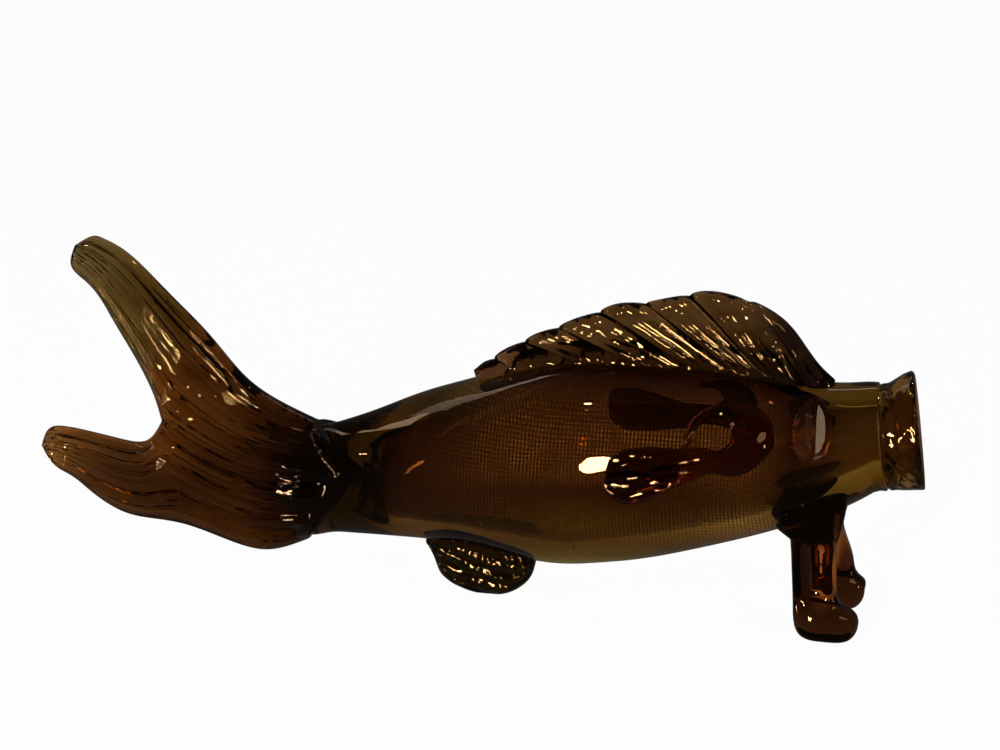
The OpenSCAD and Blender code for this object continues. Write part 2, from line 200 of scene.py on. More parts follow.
def amberGlass(name, s):  # every texture's scale is in features per metre
    s = {**plainSkin, **s}
    finish = bpy.data.materials.new(name)
    finish.use_nodes = True
    tree = finish.node_tree
    tree.nodes.clear()
    place = addNode(tree, "ShaderNodeTexCoord").outputs["Object"]
    ripple = addNode(tree, "ShaderNodeTexNoise", {
        "Scale": 1000 / s["rippleMm"], "Detail": 2.0, "Roughness": 0.45}, {"Vector": place})
    marks = addNode(tree, "ShaderNodeTexNoise", {
        "Scale": 1000 / s["markMm"], "Detail": 3.0, "Roughness": 0.6}, {"Vector": place})
    seeds = addNode(tree, "ShaderNodeTexVoronoi", {
        "Scale": 1000 / s["seedMm"], "Randomness": 1.0}, {"Vector": place})
    pinholes = addNode(tree, "ShaderNodeMapRange", {
        "From Min": sodaLime["seedSize"][0], "From Max": sodaLime["seedSize"][1],
        "To Min": 1.0, "To Max": 0.0}, {"Value": seeds.outputs["Distance"]})
    slow = addNode(tree, "ShaderNodeBump", {
        "Strength": s["rippleDepth"], "Distance": sodaLime["rippleHeight"]},
        {"Height": ripple.outputs["Fac"]})
    tooled = addNode(tree, "ShaderNodeBump", {
        "Strength": s["markDepth"], "Distance": sodaLime["markHeight"]},
        {"Height": marks.outputs["Fac"], "Normal": slow.outputs["Normal"]})
    dimpled = addNode(tree, "ShaderNodeBump", {
        "Strength": s["seedDepth"], "Distance": sodaLime["seedHeight"]},
        {"Height": pinholes.outputs["Result"], "Normal": tooled.outputs["Normal"]})
    haze = addNode(tree, "ShaderNodeMapRange", {
        "From Min": 0.35, "From Max": 0.7, "To Min": s["roughness"] * sodaLime["hazeSpan"][0],
        "To Max": s["roughness"] * sodaLime["hazeSpan"][1]}, {"Value": marks.outputs["Fac"]})
    drawn = addNode(tree, "ShaderNodeMapping", {"Scale": (sodaLime["cordStretch"], 1.0, 1.0)},
                    {"Vector": place})
    cords = addNode(tree, "ShaderNodeTexNoise", {
        "Scale": 1000 / s["cordMm"], "Detail": 2.0, "Distortion": 0.6}, {"Vector": drawn.outputs["Vector"]})
    streaky = addNode(tree, "ShaderNodeMapRange", {"From Min": 0.38, "From Max": 0.66},
                      {"Value": cords.outputs["Fac"]})
    hue = addNode(tree, "ShaderNodeMix", {
        "data_type": "RGBA", 6: toLinear(s["tint"]), 7: toLinear(s["tintDeep"])},
        {0: streaky.outputs["Result"]}).outputs[2]
    for x, z, reachX, reachZ, tint in s.get("zones", ()):  # tints in patches round given points: partly thicker and thinner glass, partly painted light and shade
        spread = addNode(tree, "ShaderNodeMapping", {
            "Scale": (1000 / reachX, 0.0, 1000 / reachZ), "Location": (-x / reachX, 0.0, -z / reachZ)},
            {"Vector": place})
        away = addNode(tree, "ShaderNodeVectorMath", {"operation": "LENGTH"}, {0: spread.outputs["Vector"]})
        share = addNode(tree, "ShaderNodeMapRange", {
            "interpolation_type": "SMOOTHSTEP", "From Min": 1.0, "From Max": 0.25},
            {"Value": away.outputs["Value"]})
        hue = addNode(tree, "ShaderNodeMix", {"data_type": "RGBA", 7: toLinear(tint)},
                      {0: share.outputs["Result"], 6: hue}).outputs[2]
    for key, level, full in sodaLime["bends"]:  # painted shade along folds, painted highlight along drawn-up ridges
        if key in s:
            form = addNode(tree, "ShaderNodeNewGeometry")
            bent = addNode(tree, "ShaderNodeMapRange", {"From Min": level, "From Max": full},
                           {"Value": form.outputs["Pointiness"]})
            hue = addNode(tree, "ShaderNodeMix", {"data_type": "RGBA", 7: toLinear(s[key])},
                          {0: bent.outputs["Result"], 6: hue}).outputs[2]
    if "netMm" in s:  # faint net of crossed threads, drawn coarse so that it shows: a painted image of a woven cloth seen through the glass, not a mark of the glass
        spot = addNode(tree, "ShaderNodeSeparateXYZ", None, {"Vector": place})
        warp, weft = [addNode(tree, "ShaderNodeTexWave", {
            "bands_direction": direction, "Scale": waveUnit / (s["netMm"] * mm) * stretch,
            "Distortion": sodaLime["netWobble"], "Detail": 2.0, "Detail Scale": 1.4},
            {"Vector": place}) for direction, stretch in sodaLime["netStretch"]]
        faint = addNode(tree, "ShaderNodeMath", {
            "operation": "MULTIPLY_ADD", 1: sodaLime["netWeft"][0], 2: sodaLime["netWeft"][1]},
            {0: weft.outputs["Fac"]})  # the threads along the flank show less
        net = addNode(tree, "ShaderNodeMath", {"operation": "MULTIPLY"},
                      {0: warp.outputs["Fac"], 1: faint.outputs[0]})
        for axis in "ZX":  # the net fades out towards the belly, the back, the tail and the head
            first, firstFull, lastFull, last = s["net" + axis]
            for bare, full in ((first, firstFull), (last, lastFull)):
                fade = addNode(tree, "ShaderNodeMapRange", {"From Min": bare * mm, "From Max": full * mm},
                               {"Value": spot.outputs[axis]})
                net = addNode(tree, "ShaderNodeMath", {"operation": "MULTIPLY"},
                              {0: net.outputs[0], 1: fade.outputs["Result"]})
        hue = addNode(tree, "ShaderNodeMix", {"data_type": "RGBA", 7: toLinear(s["seenClothTint"])},
                      {0: net.outputs[0], 6: hue}).outputs[2]
    glass = addNode(tree, "ShaderNodeBsdfPrincipled", {
        "Transmission Weight": 1.0, "IOR": sodaLime["ior"], "Specular Tint": toLinear(s["shine"])},
        {"Base Color": hue, "Roughness": haze.outputs["Result"], "Normal": dimpled.outputs["Normal"]})
    depth = addNode(tree, "ShaderNodeVolumeAbsorption", {
        "Color": toLinear(s["depthColour"]), "Density": s["density"]})
    addNode(tree, "ShaderNodeOutputMaterial", None,
            {"Surface": glass.outputs["BSDF"], "Volume": depth.outputs["Volume"]})
    return finish


# amber soda-lime glass, blown in a mould: wet-looking, brown through both walls and golden through one, the
# golden bands partly painted light
blownGlass = amberGlass("amber_glass_blown", {
    "tint": "#644439", "tintDeep": "#5b3b2d", "depthColour": "#dcd460", "density": 140.0,
    # patches: lighter at the belly, the neck and the rear of the hollow, painted light through the walls;
    # darker at the tail stock, thick solid glass with painted shade, and along the back, painted shade; the
    # net is a painted image of a cloth seen through the glass
    "zones": ((-22, 60, 42, 42, "#6f4e41"), (186, 84, 40, 50, "#896e5e"), (72, 14, 95, 18, "#aea357"),
              (186, 68, 34, 12, "#946e4b"), (186, 111, 36, 13, "#684f3c"), (-54, 46, 33, 54, "#2e1e24"),
              (-15, 99, 52, 24, "#42302a")),
    "rippleMm": 34, "rippleDepth": 0.25, "markMm": 9, "markDepth": 0.04, "seedMm": 13, "seedDepth": 0.25,
    "cordMm": 26,
    "netMm": 1.6, "seenClothTint": "#dab088", "netZ": (36, 48, 90, 106), "netX": (-10, 20, 128, 150)})
# the same glass sheared and turned over at the mouth: a fire-polished, slightly rolled edge, with painted
# shade along its front rim
lipGlass = amberGlass("amber_glass_fire_polished", {
    "tint": "#82614b", "tintDeep": "#76563f", "depthColour": "#dcd460", "density": 140.0,
    "zones": ((205, 88, 11, 60, "#24160c"),),
    "rippleMm": 14, "rippleDepth": 0.35, "markMm": 6, "seedMm": 10, "cordMm": 16})
# drawn-out and jack-pinched glass: long creases that catch the light as bright streaks, with a painted
# highlight on the ridges and painted shade in the folds; the darker root and paler tips stand partly for
# thick and thin glass and partly for painted light and shade, and the orange patches at the fork and mid-tail
# are painted light
tailGlass = amberGlass("amber_glass_jack_pinched", {
    "tint": "#b88046", "tintDeep": "#925c2c", "depthColour": "#a58a50", "density": 215.0,
    "zones": ((-152, 40, 55, 24, "#7a5030"), (-62, 46, 48, 42, "#644248"), (-156, 126, 48, 50, "#988246"),
              (-137, 72, 24, 34, "#d88c42"), (-114, 75, 28, 22, "#cc8e4e"),
              (-174, 148, 30, 30, "#a0925e"), (-198, 57, 18, 18, "#d8a058")),
    "foldShadeTint": "#4a2c18", "ridgeHighlightTint": "#d8b888",
    "roughness": 0.015, "rippleMm": 15, "markDepth": 0.1, "cordMm": 7})
# glass crimped between ribbed jaws while soft: rounded lobes with glittering ridges, painted shade in the
# folds and along the base where the fin meets the body; other patches darken the front lobe, lighten the rear
# tip and mark three small spots near the front edge
finGlass = amberGlass("amber_glass_crimped", {
    "tint": "#846a46", "tintDeep": "#6a4a2a", "depthColour": "#a5893f", "density": 230.0,
    "zones": ((88, 106, 95, 15, "#523628"), (150, 122, 34, 42, "#38282a"), (10, 108, 28, 18, "#9c7458"),
              (134, 126, 4.5, 4.5, "#6c5636"), (139, 121, 4.5, 4.5, "#6c5636"),
              (144, 116.5, 4.5, 4.5, "#6c5636")),
    "foldShadeTint": "#482a1c"})
# the crimped glass under the belly: a darker, greener copy of the back fin's glass with denser absorption,
# its darker tint painted shade for its place under the belly, with painted shade in its folds and where it
# meets the belly
keelGlass = amberGlass("amber_glass_crimped_under_belly", {
    "tint": "#443c28", "tintDeep": "#302618", "depthColour": "#a08a44", "density": 260.0,
    "zones": ((12, 22, 30, 9, "#4a3420"),), "foldShadeTint": "#3c2614"})
# a hot bit pressed flat on the marver: slab sides, swollen sole, thick enough to look nearly brown
footGlass = amberGlass("amber_glass_pressed", {
    "tint": "#644434", "tintDeep": "#543828", "shine": "#c89864", "depthColour": "#b89448", "density": 260.0,
    # patches: painted shade at the hip where the leg meets the body, darker towards the leg's rear edge, a
    # painted strip of light down the middle of the leg and a paler sole
    "zones": ((154, 30, 9, 30, "#38221e"), (163, 30, 6, 20, "#f0a450"), (155, 58, 30, 13, "#4c3020"),
              (164, 5, 22, 12, "#7c6258")),
    "rippleMm": 10, "rippleDepth": 0.4, "markDepth": 0.15, "seedMm": 8, "cordMm": 9})
# a trailed strand laid on the flank and curled with a hook: dark red-brown where it heaps up, with painted
# shade in its folds; a patch darkens the leaf
sideGlass = amberGlass("amber_glass_trailed", {
    "tint": "#d8b098", "tintDeep": "#b48468", "shine": "#c89864", "depthColour": "#c07820", "density": 500.0,
    "zones": ((82, 74, 34, 22, "#85625c"),), "foldShadeTint": "#5c3c30",
    "rippleMm": 9, "markMm": 4, "seedMm": 8})
# a round dab of hot glass pressed on for the eye: full of small bubbles
eyeGlass = amberGlass("amber_glass_dabbed", {
    "tint": "#f4dcc0", "tintDeep": "#e0bc94", "shine": "#e0c8a0", "depthColour": "#d0962a", "density": 240.0,
    "rippleMm": 7, "rippleDepth": 0.15, "markMm": 3, "markDepth": 0.08, "seedMm": 3.5, "seedDepth": 0.5,
    "cordMm": 6})
print("materials made")

# the blown body, measured on the CAD shell

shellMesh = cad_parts["body_shell"].data
shellTree = BVHTree.FromPolygons([v.co[:] for v in shellMesh.vertices],
                                 [p.vertices[:] for p in shellMesh.polygons])
outside = 900  # mm, well clear of the fish


def firstHit(start, along):
    hit = shellTree.ray_cast(Vector(start) * mm, Vector(along))[0]
    return np.array(hit) / mm


stationX = np.linspace(-84, 180, 24)  # from the tail stock to the neck
stationTop = np.array([firstHit((x, 0, outside), (0, 0, -1))[2] for x in stationX])
stationLow = np.array([firstHit((x, 0, -outside), (0, 0, 1))[2] for x in stationX])
stationHalf = np.array([-firstHit((x, -outside, (t + l) / 2), (0, 1, 0))[1]
                        for x, t, l in zip(stationX, stationTop, stationLow)])
lipSeat = 3.1
neckX = boxOf("mouth_lip")[0][0] + lipSeat  # where the neck's axis meets the lip
neckAngle = math.radians(8)
neckReach = 34  # mm of neck that lean with the mouth
flankEdge = 0.985  # the share of the body's height that counts as flank
probe = 0.5  # mm


def sectionAt(x):  # middle height, half height and half width of the blown body
    x = np.clip(x, stationX[0], stationX[-1])
    top = throughPoints(stationX, stationTop, x)
    low = throughPoints(stationX, stationLow, x)
    half = throughPoints(stationX, stationHalf, x)
    return (top + low) / 2, (top - low) / 2, half


def neckLean(x):
    return math.tan(neckAngle) * smoothStep(neckX - neckReach, neckX, x)


def skinAt(x, turn):  # turn 0 is +Y, 90 the back, 180 the near flank, 270 the belly
    middle, high, wide = sectionAt(x)
    z = middle + high * np.sin(turn)
    return np.stack(np.broadcast_arrays(x - (z - middle) * neckLean(x), wide * np.cos(turn), z), -1)


def flankAt(x, z, side):  # the point of the flank seen at (x, z); side -1 is the near one
    middle, high, wide = sectionAt(x)
    up = np.clip((z - middle) / high, -flankEdge, flankEdge)
    return np.stack(np.broadcast_arrays(x, side * wide * np.sqrt(1 - up ** 2), middle + up * high), -1)


def flankNormal(x, z, side):
    alongX = flankAt(x + probe, z, side) - flankAt(x - probe, z, side)
    alongZ = flankAt(x, z + probe, side) - flankAt(x, z - probe, side)
    normal = np.cross(alongX, alongZ)
    normal *= np.sign(normal[..., 1:2]) * side
    return normal / np.linalg.norm(normal, axis=-1, keepdims=True)


tailRoot = {"top": (-66.5, 75.5), "point": (-39.5, 61.0), "low": (-71.0, 19.5)}  # seam with the tail: x, z
bodyShape = {
    "wallX": (-50, -35, -9, 18, 45, 100, 145, 166, 178, 190),
    "wallTop": (15, 12.5, 8.2, 6, 4.8, 4.4, 5.4, 9.5, 9.8, 9.2),  # thick towards the tail and in the throat
    "wallLow": (11, 8, 7.0, 7.0, 7.2, 7.6, 7.6, 10.5, 11.0, 11.0),
    "wallSide": (9, 6.5, 5, 4.4, 4.1, 4.0, 4.2, 6.4, 7.4, 7.4),
    "lowPinch": (0, 0.03, 0.09, 0.13, 0.15, 0.15, 0.14, 0.10, 0.06, 0.04),  # the hollow narrows low down
    "hollowEnd": (-48.5, 40.0), "hollowRound": 21, "roundRings": 26, "straightRings": 80,
    "seed": 4, "waves": ((70, 0.22), (34, 0.10)), "girth": 32, "calmEnd": 0.06,
    "seamGap": 0.12, "rearGuess": -55.0, "settling": 60,
    "around": 144, "along": 120, "crowding": 0.25,  # the rings crowd towards the tail
}


def seamX(z):  # the seam is a V that points to the head
    p, t, l = tailRoot["point"], tailRoot["top"], tailRoot["low"]
    above = p[0] + (t[0] - p[0]) * (z - p[1]) / (t[1] - p[1])
    below = p[0] + (l[0] - p[0]) * (p[1] - z) / (p[1] - l[1])
    return np.where(z > p[1], above, below)


def makeBody(s):
    turns = np.linspace(-math.pi / 2, 1.5 * math.pi, s["around"], endpoint=False)
    endX = np.full(len(turns), s["rearGuess"])
    for _ in range(s["settling"]):  # settle the rear rim on the seam
        middle, high, wide = sectionAt(endX)
        endX = 0.5 * endX + 0.5 * (seamX(middle + high * np.sin(turns)) + s["seamGap"])
    share = np.linspace(0, 1, s["along"])
    share = share * (1 - s["crowding"]) + share ** 2 * s["crowding"]
    outer = []
    for t in share:
        x = endX * (1 - t) + neckX * t
        middle, high, wide = sectionAt(x)
        out = np.stack([np.zeros_like(x), np.cos(turns) / wide, np.sin(turns) / high], -1)
        out /= np.linalg.norm(out, axis=-1, keepdims=True)
        calm = smoothStep(0, s["calmEnd"], t) * smoothStep(1, 1 - s["calmEnd"], t)
        wave = handWaves(s["seed"], x, turns * s["girth"], s["waves"])
        outer.append(skinAt(x, turns) + out * (wave * calm)[:, None])
    outer = np.array(outer)
    hollowX, hollowZ = s["hollowEnd"]
    roundPart = np.sin(np.linspace(0, 1, s["roundRings"]) * math.pi / 4) ** 2 * 2 * s["hollowRound"]
    straightPart = np.linspace(0, 1, s["straightRings"])[1:] * (neckX - hollowX - s["hollowRound"])
    inner = []
    for a in np.concatenate([roundPart, s["hollowRound"] + straightPart]):
        x = np.full(len(turns), hollowX + a)
        middle, high, wide = sectionAt(x)
        wallTop, wallLow, wallSide, lowPinch = [
            throughPoints(s["wallX"], s[k], x) for k in ("wallTop", "wallLow", "wallSide", "lowPinch")]
        top, low = middle + high - wallTop, middle - high + wallLow
        close = math.sqrt(max(1 - (1 - min(a / s["hollowRound"], 1)) ** 2, 0))  # the rear end is round
        centre = (top + low) / 2 * close + hollowZ * (1 - close)
        z = centre + (top - low) / 2 * close * np.sin(turns)
        y = (wide - wallSide) * close * np.cos(turns) * (1 - lowPinch * np.clip(-np.sin(turns), 0, 1))
        inner.append(np.stack([x - (z - middle) * neckLean(x), y, z], -1))
    inner = np.array(inner)
    work = Hot()
    work.patch(outer, True)
    work.patch(inner, True)
    work.patch(np.array([inner[-1] + (outer[-1] - inner[-1]) * k for k in (0, 0.33, 0.67, 1)]), True)
    half = s["around"] // 2
    leftRim = outer[0][:half + 1]
    rightRim = outer[0][[(-k) % s["around"] for k in range(half + 1)]]
    work.patch(np.array([leftRim + (rightRim - leftRim) * k for k in np.linspace(0, 1, 5)]))
    work.piece("BlownBody", "body_shell", "blown_glass", blownGlass)


makeBody(bodyShape)

# the turned-over lip

lipShape = {  # (ahead of the neck mm, outward from the neck's wall mm) round the lip's section
    "outside": ((0.0, 0.0), (0.5, -0.75), (1.3, -0.35), (3.2, 0.25), (6.5, 0.7), (10.0, 1.3), (13.0, 1.75)),
    "rim": ((14.4, 1.7), (15.3, 0.6), (15.6, -0.9), (15.2, -2.4), (14.0, -3.6)),
    "inside": ((12.0, -4.3), (8.0, -4.6), (4.0, -6.2), (0.0, -9.0)),
    "flipUp": 2.6, "wobble": (3, 0.6, 0.5),  # the upper lip's rise; waves around, start, height mm
    "ripples": ((13, 0.9, 0.14), (21, -1.4, 0.1)),  # waves around, twist for each mm ahead, height mm
    "fold": (3.5, 2.2, 0.9),  # under the upper lip: mm ahead, half width, depth
    "skew": 0.05,  # sheared a little aslant, longer on the near side
    "length": 15, "seatGap": 0.06, "around": 144, "rings": 70,
}


def makeLip(s):
    turns = np.linspace(0, math.tau, s["around"], endpoint=False)
    middle, high, wide = sectionAt(np.array(neckX))
    ahead = np.array([math.cos(neckAngle), 0, math.sin(neckAngle)])
    aside = np.array([0, 1, 0])
    upward = np.array([-math.sin(neckAngle), 0, math.cos(neckAngle)])
    centre = np.array([neckX, 0, middle])
    loop = np.array(s["outside"] + s["rim"] + s["inside"])
    keys = np.concatenate([[0], np.cumsum(np.linalg.norm(np.diff(loop, axis=0), axis=1))])
    waves, start, swell = s["wobble"]
    foldAt, foldHalf, foldDepth = s["fold"]
    rows = []
    for a, r in throughPoints(keys, loop, np.linspace(0, keys[-1], s["rings"])):
        flare = smoothStep(4, s["length"], a) * s["flipUp"] * smoothStep(0.45, 1.0, np.sin(turns))
        fine = sum(height * np.sin(count * turns + twist * a) for count, twist, height in s["ripples"])
        pout = smoothStep(3, s["length"], a) * swell * np.sin(waves * turns + start)
        pout = pout + smoothStep(0, 3, a) * fine
        sink = -foldDepth * smoothStep(0.75, 1.0, np.sin(turns)) * np.exp(-((a - foldAt) / foldHalf) ** 2)
        spread = max(r, 0) * (0.2 + 0.4 * (1 + np.sin(turns))) + min(r, 0)  # the lower lip hardly flares
        y = (wide + spread + pout) * np.cos(turns)
        z = (high + spread + pout * 0.4 + flare + sink) * np.sin(turns)
        forward = a + s["seatGap"] - s["skew"] * y * smoothStep(2, s["length"], a)
        rows.append(centre + forward[:, None] * ahead + y[:, None] * aside + z[:, None] * upward)
    rows.append(rows[0])
    work = Hot()
    work.patch(np.array(rows), True)
    work.piece("MouthLip", "mouth_lip", "lip_glass", lipGlass)


makeLip(lipShape)

# the forked tail: two drawn lobes that share a seam as far as the fork

tailShape = {
    "keys": (0, 0.12, 0.25, 0.37, 0.48, 0.60, 0.72, 0.83, 0.92, 0.97, 1.0), "forkKey": 4,
    "crest": ((-66.5, 75.5), (-84, 83), (-100, 93.5), (-112, 107.0), (-122, 118), (-135, 130.6),
              (-148, 143.4), (-158, 151), (-166, 154.6), (-172, 154.4), (-178.5, 150.5)),
    "seam": ((-39.5, 61.0), (-70, 54.0), (-97, 52.0), (-121, 60), (-140.2, 71)),
    "forkUp": ((-140.2, 71), (-144.5, 85), (-153, 102), (-163, 119), (-174, 134), (-181, 142.5),
               (-178.5, 150.5)),
    "forkLow": ((-140.2, 71), (-149, 60.2), (-163, 60.3), (-177, 62.8), (-190, 64.3), (-197.6, 61.5),
                (-200.4, 54.5)),
    "keel": ((-71, 19.5), (-84, 14), (-97, 12.6), (-112, 16.2), (-130, 21.3), (-148, 23), (-163, 25.8),
             (-177, 34), (-188, 41.6), (-196, 47.0), (-200.4, 54.5)),
    "halfThick": (13.0, 11.5, 9.2, 8.0, 7.0, 6.2, 5.4, 4.7, 4.2, 4.0, 3.8), "rounding": 1.15,
    "cover": 2.6, "coverFull": 0.032, "coverReach": (-112, -66),  # the root's glass over the tail stock
    "edgeBead": (1.2, 0.038, 0.008),  # bright line along the chevron: height mm, place, width
    "ribs": (  # waves across a lobe, start, depth mm: uneven so that no two ribs match
        (3, 0.1, 0.55), (5, 0.45, 0.5), (8, 0.2, 0.34), (11, 0.7, 0.18), (15, 0.35, 0.14), (23, 0.5, 0.12)),
    "ribGrowth": (0.5, 1.0, 1.0, 1.0, 1.1, 1.15, 1.15, 1.1, 1.0, 0.85, 0.6),
    "sways": ((0.035, 4.2, 0.4), (0.012, 11, 1.0)),  # the ribs wander: share of a lobe, waves, lag of a side
    "pitSeed": 11, "pits": ((7.0, 0.30), (4.4, 0.16)), "pitLevel": 0.06,
    "pitSpots": ((-136, 72, 15, 18, 0.9), (-195, 55, 10, 10, 1.8)),  # fork, tip: x, z, reaches, strength
    "creases": (  # tool marks across the root: path, depth, half width
        (((-60, 38), (-76, 37), (-95, 38)), 0.7, 0.8), (((-50, 51), (-76, 51), (-100, 51)), 0.7, 0.8)),
    "rootRib": (2.4, 13.5, 58.0),  # ridges where the tail was pulled off: depth, spacing, height of one crest
    "rootFan": (0.16, -80, 46), "rootReach": (-116, -92),  # they fan out to the rear: slope, from x, about z
    "coverEdge": 1.5, "ridgeEdge": 9.0, "reliefEdge": 3.0,  # mm from the outline to full height
    "across": 100, "along": 170, "evenness": 0.35,
}


def makeTail(s):
    forkAt = s["keys"][s["forkKey"]]
    u = np.unique(np.concatenate([  # rows crowd at the chevron and at the tips
        np.linspace(0, 0.06, 14), np.linspace(0.06, 0.9, s["along"] - 50), [forkAt],
        np.linspace(0.9, 0.98, 22), [0.986, 0.991, 0.995, 0.998, 1.0]]))
    before = u <= forkAt
    crest = throughPoints(s["keys"], s["crest"], u)
    keel = throughPoints(s["keys"], s["keel"], u)
    seam = throughPoints(s["keys"][:s["forkKey"] + 1], s["seam"], u)
    lobeKeys = s["keys"][s["forkKey"]:]
    up = np.where(before[:, None], seam, throughPoints(lobeKeys, s["forkUp"], u))
    low = np.where(before[:, None], seam, throughPoints(lobeKeys, s["forkLow"], u))
    outline = np.concatenate([crest, up[~before][::-1], seam[before][-1:], low[~before], keel[::-1]])
    even = np.linspace(0, 1, s["across"])
    v = (1 - s["evenness"]) * (0.5 - 0.5 * np.cos(math.pi * even)) + s["evenness"] * even
    far = u[:, None]  # 0 at the chevron, 1 at the tips
    thick = throughPoints(s["keys"], s["halfThick"], u)[:, None]
    growth = throughPoints(s["keys"], s["ribGrowth"], u)[:, None]
    start = smoothStep(0.03, 0.08, far)
    beadHeight, beadAt, beadWidth = s["edgeBead"]
    ridgeDepth, ridgeStep, ridgeAt = s["rootRib"]
    fan, fanX, fanZ = s["rootFan"]
    work = Hot()
    for lobe, (first, second) in enumerate(((crest, up), (low, keel))):
        flat = first[:, None] * (1 - v[None, :, None]) + second[:, None] * v[None, :, None]
        x, z = flat[..., 0], flat[..., 1]
        inside = edgeDistance(flat, outline)
        middle, high, wide = sectionAt(x)
        hug = wide * np.sqrt(np.clip(1 - ((z - middle) / high) ** 2, 0, 1))
        bead = beadHeight * np.exp(-((far - beadAt) / beadWidth) ** 2)
        hug = hug + (s["cover"] * np.clip(far / s["coverFull"], 0, 1) + bead) * (hug > 0)
        hug = hug * smoothStep(*s["coverReach"], x) * np.minimum(inside / s["coverEdge"], 1)
        thickness = ((thick * roundedEdge(inside, thick * s["rounding"])) ** 4 + hug ** 4) ** 0.25
        thickness = np.where(far < 0.001, hug * (inside > onEdge), thickness)
        spots = sum(strength * np.exp(-(((x - spotX) / reachX) ** 2 + ((z - spotZ) / reachZ) ** 2))
                    for spotX, spotZ, reachX, reachZ, strength in s["pitSpots"])
        gathered = smoothStep(*s["rootReach"], x) * np.clip(inside / s["ridgeEdge"], 0, 1)
        slope = fan * (x - fanX) * np.sign(z - fanZ) * smoothStep(4, 24, np.abs(z - fanZ))
        crests = 0.6 - np.abs(np.sin(math.pi * (z + slope - ridgeAt) / ridgeStep))
        tooled = ridgeDepth * crests * gathered
        for marks, deep, broad in s["creases"]:
            rearX = marks[-1][0]
            away = edgeDistance(flat, np.array(marks, float))
            tooled = tooled - deep * np.exp(-(away / broad) ** 2) * smoothStep(rearX - 2, rearX + 22, x)
        for side in (-1, 1):
            wander = sum(size * np.sin(turn * far + lag * side) for size, turn, lag in s["sways"])
            place = lobe + v[None, :] + wander
            ribs = 0
            for count, begin, deep in s["ribs"]:
                wave = np.abs(np.sin(math.pi * (count * place + begin)))
                swell = 1 + 0.35 * np.sin(7 * far + count * 1.3)
                ribs = ribs + deep * (1.6 * wave ** 0.8 - 1.0) * swell
            pits = handWaves(s["pitSeed"] + side, x, z, s["pits"]) * (s["pitLevel"] + spots)
            relief = (ribs * growth + pits + tooled) * start
            y = side * np.maximum(thickness + relief * np.clip(inside / s["reliefEdge"], 0, 1), 0.0)
            work.patch(np.stack([x, np.where(inside < onEdge, 0.0, y), z], -1))
        front = np.stack([x[0], thickness[0], z[0]], -1)
        front = np.where((inside[0] < onEdge)[:, None], front * [1, 0, 1], front)
        work.patch(np.array([front * [1, k, 1] for k in (1, 0.5, 0, -0.5, -1)]))
    work.piece("ForkedTail", "tail_fin", "tail_glass", tailGlass)


makeTail(tailShape)

# the crimped back fin

dorsalShape = {
    "keys": (0, 0.05, 0.13, 0.24, 0.36, 0.47, 0.58, 0.69, 0.78, 0.86, 0.92, 0.965, 1.0),
    "crest": ((6.0, 103.8), (11, 107.8), (22, 115.0), (36, 122.6), (53, 130.2), (70.4, 137.2), (87.6, 139.8),
              (104.6, 144.4), (121.7, 143.2), (135, 138.2), (146, 129.0), (155.5, 116.5), (163, 109.6)),
    "root": (7, 18, 42, 68, 93, 114, 129, 139, 146, 151.5, 155.5, 159.5, 163),
    "notches": (0.0, 0.075, 0.175, 0.29, 0.41, 0.535, 0.66, 0.80),
    "halfRoot": 6.2, "halfCrest": 3.4, "rounding": 5.0, "thinnest": 0.8, "sunk": 0.2,
    "ribDepth": 2.3, "ribPeak": 0.28, "fineDepth": 0.4, "scallop": 2.2,  # ribs rise fast and fall slowly
    "ribsEnd": (0.82, 0.79), "border": 1.6, "panel": 2.0, "frontTaper": 0.55,  # smooth front, thick border
    "pitSeed": 31, "pits": ((9, 0.07), (5, 0.04)),
    "across": 40, "along": 240, "seatRows": 7,
}


